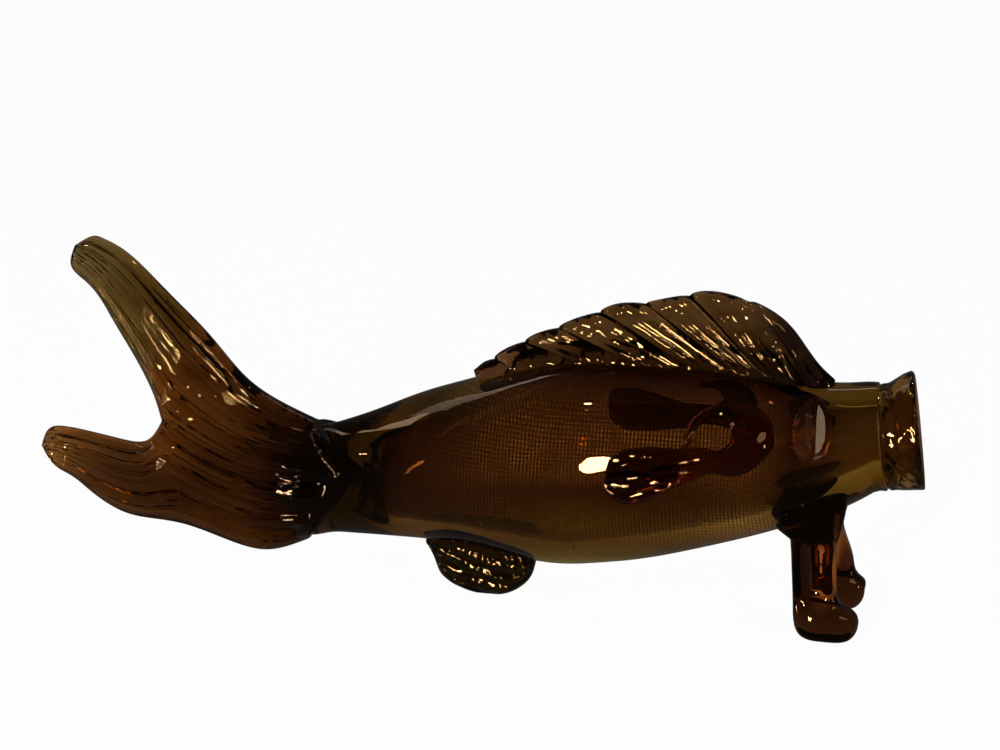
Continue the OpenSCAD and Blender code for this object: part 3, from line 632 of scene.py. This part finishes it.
def makeDorsal(s):
    share = np.linspace(0, 1, s["along"])
    crest = throughPoints(s["keys"], s["crest"], share)
    rootX = throughPoints(s["keys"], s["root"], share)
    middle, high, wide = sectionAt(rootX)
    root = np.stack([rootX, middle + high - s["sunk"]], -1)
    cuts = np.array(s["notches"])
    k = np.clip(np.searchsorted(cuts, share, "right") - 1, 0, len(cuts) - 2)
    within = np.clip((share - cuts[k]) / (cuts[k + 1] - cuts[k]), 0, 1)
    ribbed = smoothStep(*s["ribsEnd"], share)
    peak = s["ribPeak"]
    rising = 1 - (1 - within / peak) ** 2
    falling = 1 - 0.6 * (np.maximum(within - peak, 0) / (1 - peak)) ** 1.4
    ridge = np.where(within < peak, rising, falling)
    lobes = np.sin(math.pi * within ** 0.8) ** 0.55 * ribbed
    away = crest - root
    away /= np.linalg.norm(away, axis=1, keepdims=True)
    scallops = s["scallop"] * (lobes - 0.75) * ribbed * smoothStep(0, 0.08, share)
    crest = crest + away * scallops[:, None]
    t = np.sin(np.linspace(0, math.pi / 2, s["across"])) ** 1.2
    flat = root[:, None] * (1 - t[None, :, None]) + crest[:, None] * t[None, :, None]
    x, z = flat[..., 0], flat[..., 1]
    inside = edgeDistance(flat, np.concatenate([root[:1], crest, root[-1:]]))
    ahead = share[:, None]
    half = s["halfRoot"] + (s["halfCrest"] - s["halfRoot"]) * smoothStep(0, 0.8, t)[None, :]
    half = half + s["border"] * smoothStep(0.80, 0.86, ahead) * smoothStep(9, 3, inside)
    half = half - s["panel"] * smoothStep(0.82, 0.87, ahead) * smoothStep(5.0, 8.5, inside)
    half = half * (1 - s["frontTaper"] * smoothStep(0.88, 1.0, ahead))
    bulge = roundedEdge(inside, np.minimum(half, s["rounding"]))
    feather = (ridge[:, None] - 0.7) * ribbed[:, None] * smoothStep(0, 0.25, t)[None, :]
    work = Hot()
    sides = []
    for side in (-1, 1):
        fine = (np.abs(np.sin(math.pi * (within * 3.0 + 0.1 * side)))[:, None] - 0.6) * ribbed[:, None]
        fine = s["fineDepth"] * fine * smoothStep(0, 0.2, t)[None, :]
        pits = handWaves(s["pitSeed"] + side, x, z, s["pits"])
        y = side * np.maximum(half + s["ribDepth"] * feather + fine + pits, s["thinnest"]) * bulge
        y[inside < onEdge] = 0
        grid = np.stack([x, y, z], -1)
        work.patch(grid)
        sides.append(grid[:, 0])

    def backFall(y):  # how far the body's back has dropped at y from the middle plane
        return high * (1 - np.sqrt(np.clip(1 - (y / wide) ** 2, 0, 1)))

    seat = []
    for m in np.linspace(0, 1, s["seatRows"]):
        line = sides[0] + (sides[1] - sides[0]) * m
        arch = (backFall(sides[0][:, 1]) - backFall(line[:, 1])) * 0.9 * (0 < m < 1)
        seat.append(line + arch[:, None] * [0, 0, 1])
    work.patch(np.array(seat))
    work.piece("BackFin", "dorsal_fin", "fin_glass", finGlass)


makeDorsal(dorsalShape)

# the ribbed keel foot under the belly

keelShape = {
    "keys": (0, 0.10, 0.22, 0.38, 0.54, 0.68, 0.82, 0.92, 1.0),
    "edge": ((-16.5, 23.0), (-12.6, 16.0), (-9.6, 8.4), (-1.5, 2.6), (8.0, 0.0), (18.0, 0.0), (27.0, 4.0),
             (32.4, 10.2), (34.4, 17.5)),
    "root": (-15, -11, -6, 1, 8, 15, 22, 28, 33), "half": 5.6, "rounding": 5.0, "ribs": 4.5, "ribDepth": 1.0,
    "sunk": 0.2, "pitSeed": 51, "pits": ((7, 0.2), (4.2, 0.1)), "across": 36, "along": 110, "seatRows": 5,
}


def makeKeel(s):
    share = np.linspace(0, 1, s["along"])
    edge = throughPoints(s["keys"], s["edge"], share)
    edge[:, 1] = np.maximum(edge[:, 1], 0)
    rootX = throughPoints(s["keys"], s["root"], share)
    middle, high, wide = sectionAt(rootX)
    root = np.stack([rootX, middle - high + s["sunk"]], -1)
    t = np.sin(np.linspace(0, math.pi / 2, s["across"])) ** 1.2
    flat = root[:, None] * (1 - t[None, :, None]) + edge[:, None] * t[None, :, None]
    x, z = flat[..., 0], flat[..., 1]
    inside = edgeDistance(flat, np.concatenate([root[:1], edge, root[-1:]]))
    work = Hot()
    sides = []
    for side in (-1, 1):
        phase = s["ribs"] * (t[None, :] * 0.9 - 0.55 * share[:, None]) + 0.2 * side  # the ribs run aslant
        ridge = (np.abs(np.sin(math.pi * phase)) ** 0.7 - 0.6) * smoothStep(0, 0.2, t)[None, :]
        pits = handWaves(s["pitSeed"] + side, x, z, s["pits"])
        y = side * (s["half"] + s["ribDepth"] * ridge + pits) * roundedEdge(inside, s["rounding"])
        y[inside < onEdge] = 0
        grid = np.stack([x, y, z], -1)
        work.patch(grid)
        sides.append(grid[:, 0])
    work.patch(np.array([sides[0] + (sides[1] - sides[0]) * m for m in np.linspace(0, 1, s["seatRows"])]))
    work.piece("KeelFoot", "rear_foot", "fin_glass", keelGlass)


makeKeel(keelShape)

# front feet: a slab leg pressed on the flank below the head, with a swollen sole and a toe

footShape = {
    # height, rear x, front x, distance from the middle plane, half thickness
    "levels": ((0.0, 160.0, 170.0, 19.3, 3.2), (0.5, 156.5, 173.6, 19.3, 5.4), (2.6, 153.2, 176.6, 19.3, 7.0),
               (6.5, 151.4, 178.4, 19.2, 7.8), (10.5, 150.8, 178.0, 19.1, 7.6),
               (13.6, 150.6, 174.8, 18.9, 6.6),
               (16.5, 150.4, 170.6, 18.6, 5.4), (22, 150.0, 168.8, 18.2, 4.9), (30, 149.4, 168.2, 17.8, 4.9),
               (38, 148.8, 168.0, 17.4, 5.0), (44, 148.2, 168.2, 17.2, 5.4)),
    "hipX": 156.0, "hipReach": 14.0, "hipTurn": 229, "hipSpread": 19, "hipLean": 6, "hipSunk": 0.25,
    "farFlare": 4.5, "flareReach": (8, 17, 22, 42),  # the left foot spreads forward between these heights
    "farHip": (236, 14),  # and its hip sits lower
    "panelFoot": (16, 22), "panelTop": 46, "panelArch": 9, "panelSoft": 5,
    "boxiness": 0.62, "panelDepth": 1.9, "beadHeight": 0.12, "hipSwell": 0.8,
    "around": 120, "rings": 74, "hipRings": 16,
}


def makeFoot(s, side, name, node):
    turns = np.linspace(0, math.tau, s["around"], endpoint=False)
    table = np.array(s["levels"])
    key = np.concatenate([[0], np.cumsum(np.linalg.norm(np.diff(table, axis=0), axis=1))])
    levels = throughPoints(key, table, np.linspace(0, key[-1], s["rings"]))
    levels[:, 0] = np.maximum(levels[:, 0], 0)
    c, sn = np.cos(turns), np.sin(turns)
    boxC = np.sign(c) * np.abs(c) ** s["boxiness"]
    boxS = np.sign(sn) * np.abs(sn) ** s["boxiness"]
    first, firstFull, lastFull, last = s["flareReach"]
    rows = []
    for z, x0, x1, away, half in levels:
        x1 = x1 + s["farFlare"] * smoothStep(last, lastFull, z) * smoothStep(first, firstFull, z) * (side > 0)
        x = (x0 + x1) / 2 + (x1 - x0) / 2 * boxC
        across = np.abs(x - (x0 + x1) / 2) / ((x1 - x0) / 2)
        below = s["panelTop"] - s["panelArch"] * across ** 2 - z  # the sunk panel has a round top
        arch = smoothStep(*s["panelFoot"], z) * smoothStep(0, s["panelSoft"], below)
        hollow = s["panelDepth"] * smoothStep(0.72, 0.12, across) * arch
        bead = s["beadHeight"] * np.sin(math.tau * across) * arch
        y = away + half * boxS - np.sign(sn) * (hollow - bead) * smoothStep(0, 0.4, np.abs(sn))
        rows.append(np.stack([x, side * y, np.full_like(x, z)], -1))
    hipTurn, hipSpread = s["farHip"] if side > 0 else (s["hipTurn"], s["hipSpread"])
    hip, spread, lean = [math.radians(a) for a in (hipTurn, hipSpread, s["hipLean"])]

    def hipRing(scale):
        ringX = s["hipX"] + s["hipReach"] * scale * c
        ringTurn = hip - spread * scale * sn - lean * scale * c
        middle, high, wide = sectionAt(ringX)
        inward = np.stack([np.zeros_like(ringX), -np.cos(ringTurn) / wide, -np.sin(ringTurn) / high], -1)
        inward /= np.linalg.norm(inward, axis=-1, keepdims=True)
        return (skinAt(ringX, ringTurn) + inward * s["hipSunk"]) * [1, -side, 1]

    top = rows[-1]
    rim = hipRing(1.0)
    for m in np.linspace(0, 1, s["hipRings"])[1:]:
        ease = smoothStep(0, 1, m)
        ring = top * (1 - ease) + rim * ease
        out = ring - ring.mean(axis=0)
        out /= np.linalg.norm(out, axis=-1, keepdims=True)
        rows.append(ring + out * s["hipSwell"] * math.sin(math.pi * m))
    for scale in (0.8, 0.6, 0.4, 0.2, 0.0):
        rows.append(hipRing(scale))
    sole = rows[0]
    rows = [sole.mean(axis=0) + (sole - sole.mean(axis=0)) * k for k in (0, 0.5)] + rows
    work = Hot()
    work.patch(np.array(rows), True)
    work.piece(name, node, "foot_glass", footGlass)


makeFoot(footShape, -1, "FrontFootRight", "front_foot_right")
makeFoot(footShape, 1, "FrontFootLeft", "front_foot_left")

# side fins: a trailed strand, a ribbed two-lobed leaf that runs into a curl

sideShape = {
    # upper or inner edge (x, z), lower or outer edge (x, z), height
    "strand": (((72.4, 74.4), (72.2, 73.0), 0.3), ((73.2, 79.0), (72.4, 67.4), 1.8),
               ((78, 83.8), (79.5, 62.0), 2.9), ((87, 85.8), (88, 63.0), 3.2),
               ((97, 86.0), (99, 68.6), 3.4), ((106, 86.2), (108.5, 73.2), 3.6),
               ((113.0, 86.6), (116, 76.0), 4.0), ((118.0, 85.8), (125, 75.4), 4.6),
               ((122.0, 88.0), (135.0, 80.0), 5.2), ((123.6, 91.4), (141.2, 90.0), 5.4),
               ((121.6, 95.4), (137.0, 98.8), 4.6), ((117.0, 97.6), (126, 102.4), 3.6),
               ((112.6, 96.6), (112.0, 100.8), 2.8), ((109.2, 94.0), (105.9, 96.0), 1.9),
               ((107.6, 91.4), (104.4, 91.4), 1.6), ((106.8, 88.0), (103.6, 87.2), 1.2),
               ((105.8, 86.4), (103.4, 86.0), 0.3)),
    "farRows": 12, "farTip": (((112.6, 98.0), (112.4, 100.2), 0.3),),  # the left curl stays an open hook
    "leafRows": (6, 4), "leafFront": 104, "leafLength": 32, "liftReach": (112, 76),
    "lobes": 5.0, "lobeDepth": 1.3, "lobeSway": (0.12, 9),
    "notchAt": 0.36, "notchDepth": 24.0, "notchHalf": 0.055, "grooveDepth": 1.3, "grooveHalf": 0.07,
    "nickAt": 0.72, "nickDepth": 3.5, "nickHalf": 0.05,  # a notch parts the leaf, a nick its lower lobe
    "waveSeed": 71, "waves": ((8, 0.15),), "thinBelow": 3, "sunk": 0.3,
    "around": 72, "along": 200, "crowding": 0.06,
}


def makeSideFin(s, side, name, node):
    strand = s["strand"] if side < 0 else s["strand"][:s["farRows"]] + s["farTip"]
    inner, outer, high = [np.array(column, float) for column in zip(*strand)]
    steps = np.maximum(*[np.linalg.norm(np.diff(e, axis=0), axis=1) for e in (inner, outer)])
    key = np.concatenate([[0], np.cumsum(steps)])
    at = np.linspace(0, 1, s["along"])
    at = key[-1] * (at - s["crowding"] * np.sin(math.tau * at))
    inner, outer, high = [throughPoints(key, e, at) for e in (inner, outer, high)]
    turns = np.linspace(0, math.tau, s["around"], endpoint=False)
    c, sn = np.cos(turns), np.sin(turns)
    across = 0.5 - 0.5 * np.sign(c) * np.abs(c) ** 0.85
    ownShift = boxOf(node)[1][0] - boxOf("side_fin_right")[1][0]  # the left fin sits further back
    ownLift = boxOf(node)[0][2] - boxOf("side_fin_right")[0][2]  # and its leaf a little higher
    notch = s["notchDepth"] * np.exp(-((across - s["notchAt"]) / s["notchHalf"]) ** 2)
    nick = s["nickDepth"] * np.exp(-((across - s["nickAt"]) / s["nickHalf"]) ** 2)
    groove = -s["grooveDepth"] * np.exp(-((across - s["notchAt"]) / s["grooveHalf"]) ** 2)
    swayShare, swayMm = s["lobeSway"]
    rows = []
    for i in range(len(at)):
        spot = inner[i] * (1 - across[:, None]) + outer[i] * across[:, None]
        spot[:, 1] += ownLift * smoothStep(*s["liftReach"], spot[:, 0]) * (1.4 - 0.4 * across)
        leaf = smoothStep(key[s["leafRows"][0]], key[s["leafRows"][1]], at[i])
        back = np.clip((s["leafFront"] - spot[:, 0]) / s["leafLength"], 0, 1) * leaf
        spot[:, 0] += back * notch
        spot[:, 0] += back * nick
        sway = swayShare * math.sin(at[i] / swayMm)
        ribs = s["lobeDepth"] * (np.abs(np.sin(math.pi * (s["lobes"] * across + sway))) ** 0.7 - 0.6)
        body = min(high[i] / s["thinBelow"], 1)
        crown = high[i] * np.abs(sn) ** 0.8 + (ribs + groove) * leaf * np.abs(sn) * body
        rise = np.where(sn > 0, crown, -s["sunk"] * np.abs(sn))
        rise = rise + handWaves(s["waveSeed"], spot[:, 0], spot[:, 1], s["waves"]) * np.maximum(sn, 0) * body
        base = flankAt(spot[:, 0] + ownShift, spot[:, 1], side)
        outward = flankNormal(spot[:, 0] + ownShift, spot[:, 1], side)
        rows.append(base + outward * rise[:, None])
    rows = [np.repeat(rows[0].mean(axis=0)[None], s["around"], 0)] + rows
    rows.append(np.repeat(rows[-1].mean(axis=0)[None], s["around"], 0))
    work = Hot()
    work.patch(np.array(rows), True)
    work.piece(name, node, "side_glass", sideGlass)


makeSideFin(sideShape, -1, "SideFinRight", "side_fin_right")
makeSideFin(sideShape, 1, "SideFinLeft", "side_fin_left")

# eyes: oval dabs

eyeShape = {
    "centre": (155.8, 92.6), "wide": 17.4, "high": 23.0, "rise": 3.6, "sunk": 0.3, "around": 96, "rings": 80,
    "facet": (0.30, 0.82, 0.485), "facetAt": 4.2, "facetSpan": (0.8, 6.0),  # front half pressed flat
    "facetCrown": (0.012, 2.5), "crease": (0.9, 0.7),  # the crease beside it: depth, half width
    "domeSlope": 0.12, "bubbleSeed": 91, "bubbles": ((3.4, 0.22), (2.4, 0.12)),
}


def makeEye(s, side, name, node):
    turns = np.linspace(0, math.tau, s["around"], endpoint=False)
    facing = np.array(s["facet"]) * [1, side, 1]
    seatX = np.array(s["centre"][0] + s["facetAt"])
    seat = flankAt(seatX, s["centre"][1], side) + flankNormal(seatX, s["centre"][1], side) * s["rise"]
    crown, crownAt = s["facetCrown"]
    creaseDepth, creaseHalf = s["crease"]
    rows = []
    for ring in np.linspace(0, 1, s["rings"]):
        angle = ring * math.pi  # from the crown, over the edge, to the middle of the underside
        spread = math.sin(angle) ** 0.8 if ring < 0.5 else math.sin(angle)
        across = s["wide"] / 2 * spread * np.cos(turns)
        x = s["centre"][0] + across
        z = s["centre"][1] + s["high"] / 2 * spread * np.sin(turns)
        base = flankAt(x, z, side)
        outward = flankNormal(x, z, side)
        if ring < 0.5:
            level = (1 - spread ** 9) ** 0.5  # flat crown, round shoulder
            flat = np.clip(((seat - base) @ facing) / (outward @ facing), *s["facetSpan"])
            dome = s["rise"] + s["domeSlope"] * across + handWaves(s["bubbleSeed"], x, z, s["bubbles"])
            front = smoothStep(-0.5, 0.5, across)
            crease = creaseDepth * np.exp(-(across / creaseHalf) ** 2)
            rise = ((flat - crown * (across - crownAt) ** 2) * front + dome * (1 - front) - crease) * level
        else:
            rise = np.full(len(turns), -s["sunk"] * abs(math.cos(angle)))
        rows.append(base + outward * rise[:, None])
    work = Hot()
    work.patch(np.array(rows), True)
    work.piece(name, node, "eye_glass", eyeGlass)


makeEye(eyeShape, -1, "EyeRight", "eye_right")
makeEye(eyeShape, 1, "EyeLeft", "eye_left")

# studio: pale floor, dim softboxes and a few lamps for the highlights

studio = {
    "floorSize": 9.0, "floorColour": "#f4f4f2", "floorGlow": 0.97,
    "mirrorNear": 0.07, "mirrorFar": 0.1, "mirrorReach": 1.6,  # the floor is dim in reflections
    "worldColour": "#ffffff", "worldLevel": 0.06,  # and so is the room
    "skyLow": 1.0, "skyTop": 0.2, "skyReach": (0.25, 0.9),  # white wall, dimmer overhead
    "strips": (  # long narrow softboxes: one end, other end, width, watts
        ("leftStrip", (-1.19, -0.2, 0.94), (-1.12, 0.1, 1.12), 0.07, 0.35),
        ("cornerStrip", (-1.12, 0.1, 1.12), (-0.85, 0.62, 1.22), 0.14, 0.34),
        ("backStrip", (-0.85, 0.62, 1.22), (0.3, 1.15, 1.1), 0.08, 0.6),
        ("lowLeftStrip", (-1.0, -0.55, 0.02), (-1.0, -0.55, 0.3), 0.05, 3.0),
        ("lowRightStrip", (1.0, -0.62, 0.02), (1.0, -0.62, 0.3), 0.05, 3.0)),
    "sparkLamps": (  # oval lamps for the highlights: place, height and width, watts
        ((-0.065, -1.03, 0.19), (0.3, 0.085), 8.5), ((0.75, -0.78, 0.85), (0.34, 0.6), 1.9),
        ((-0.28, -0.38, 1.45), (0.035, 0.035), 0.7), ((0.6, 0.5, 1.3), (0.05, 0.05), 0.9)),
    "aim": (0.03, 0, 0.08),  # the lamps face the middle of the fish
}

floorMesh = bpy.data.meshes.new("studioFloor")
reach = studio["floorSize"] / 2
floorCorners = [(-reach, -reach, 0), (reach, -reach, 0), (reach, reach, 0), (-reach, reach, 0)]
floorMesh.from_pydata(floorCorners, [], [(0, 1, 2, 3)])
floor = bpy.data.objects.new("studioFloor", floorMesh)
bpy.context.collection.objects.link(floor)
paper = bpy.data.materials.new("matt_paper_sheet")  # matt white paper: no gloss, a trace of shadow
paper.use_nodes = True
paperTree = paper.node_tree
paperTree.nodes.clear()
rays = addNode(paperTree, "ShaderNodeLightPath")
seen = addNode(paperTree, "ShaderNodeMath", {"operation": "MAXIMUM"},
               {0: rays.outputs["Is Camera Ray"], 1: rays.outputs["Is Transmission Ray"]})
paperPlace = addNode(paperTree, "ShaderNodeTexCoord")
farOff = addNode(paperTree, "ShaderNodeVectorMath", {"operation": "LENGTH"},
                 {0: paperPlace.outputs["Object"]})
dimming = addNode(paperTree, "ShaderNodeMapRange", {
    "From Min": 0.0, "From Max": studio["mirrorReach"],
    "To Min": studio["mirrorNear"], "To Max": studio["mirrorFar"]},
    {"Value": farOff.outputs["Value"]})  # dim in reflections, so that no horizon line crosses the flank
mirrored = addNode(paperTree, "ShaderNodeMath", {"operation": "MULTIPLY"},
                   {0: rays.outputs["Is Glossy Ray"], 1: dimming.outputs["Result"]})
seenToo = addNode(paperTree, "ShaderNodeMath", {"operation": "MAXIMUM"},
                  {0: seen.outputs[0], 1: mirrored.outputs[0]})
matt = addNode(paperTree, "ShaderNodeBsdfDiffuse", {"Color": toLinear(studio["floorColour"])})
glow = addNode(paperTree, "ShaderNodeEmission", {"Color": (1, 1, 1, 1)}, {"Strength": seenToo.outputs[0]})
sheet = addNode(paperTree, "ShaderNodeMixShader", {"Fac": studio["floorGlow"]},
                {1: matt.outputs["BSDF"], 2: glow.outputs["Emission"]})
addNode(paperTree, "ShaderNodeOutputMaterial", None, {"Surface": sheet.outputs["Shader"]})
floorMesh.materials.append(paper)

world = bpy.data.worlds.new("softRoom")
world.use_nodes = True
air = world.node_tree
room = air.nodes["Background"]
room.inputs["Color"].default_value = toLinear(studio["worldColour"])
skyRays = addNode(air, "ShaderNodeLightPath")
skyPlace = addNode(air, "ShaderNodeTexCoord")
skyHeight = addNode(air, "ShaderNodeSeparateXYZ", None, {"Vector": skyPlace.outputs["Generated"]})
skyLight = addNode(air, "ShaderNodeMapRange", {
    "interpolation_type": "SMOOTHSTEP", "From Min": studio["skyReach"][0], "From Max": studio["skyReach"][1],
    "To Min": studio["skyLow"], "To Max": studio["skyTop"]}, {"Value": skyHeight.outputs["Z"]})
skySeen = addNode(air, "ShaderNodeMath", {"operation": "MAXIMUM"},
                  {0: skyRays.outputs["Is Camera Ray"], 1: skyRays.outputs["Is Transmission Ray"]})
through = addNode(air, "ShaderNodeMix", {"data_type": "FLOAT", 2: studio["worldLevel"]},
                  {0: skySeen.outputs[0], 3: skyLight.outputs["Result"]})  # pale wall behind the glass
air.links.new(through.outputs[0], room.inputs["Strength"])
bpy.context.scene.world = world


def hangLamp(name, place, size, watts, shape, along=(0, 0, 1)):
    lamp = bpy.data.lights.new(name, "AREA")
    lamp.shape = shape
    lamp.size, lamp.size_y = size
    lamp.energy = watts
    item = bpy.data.objects.new(name, lamp)
    back = (Vector(place) - Vector(studio["aim"])).normalized()
    across = back.cross(Vector(along)).normalized()
    turn = Matrix((across.cross(back), across, back)).transposed()
    item.matrix_world = Matrix.Translation(place) @ turn.to_4x4()
    bpy.context.collection.objects.link(item)


for name, start, end, width, watts in studio["strips"]:
    run = Vector(end) - Vector(start)
    hangLamp(name, (Vector(start) + Vector(end)) / 2, (run.length, width), watts, "RECTANGLE", run)
for i, (place, size, watts) in enumerate(studio["sparkLamps"]):
    hangLamp("sparkLamp%d" % i, place, size, watts, "ELLIPSE")

cameraShape = {"azimuth": 13.0, "elevation": 16.0, "distance": 0.96165, "target": (0.01782, 0, 0.10227),
               "lens": 79.2, "sensor": 36.0}
az, el = math.radians(cameraShape["azimuth"]), math.radians(cameraShape["elevation"])
backwards = Vector((math.sin(az) * math.cos(el), -math.cos(az) * math.cos(el), math.sin(el)))
camera = bpy.data.objects.new("photoCamera", bpy.data.cameras.new("photoCamera"))
camera.data.lens = cameraShape["lens"]
camera.data.sensor_width = cameraShape["sensor"]
camera.data.sensor_fit = "HORIZONTAL"
camera.location = Vector(cameraShape["target"]) + backwards * cameraShape["distance"]
camera.rotation_euler = (-backwards).to_track_quat("-Z", "Y").to_euler()
bpy.context.collection.objects.link(camera)
bpy.context.scene.camera = camera

scene = bpy.context.scene
scene.view_settings.view_transform = "Standard"
scene.cycles.max_bounces = 24
scene.cycles.transmission_bounces = 24
scene.cycles.glossy_bounces = 8
scene.cycles.caustics_reflective = False
scene.cycles.caustics_refractive = False
print("studio and camera set")
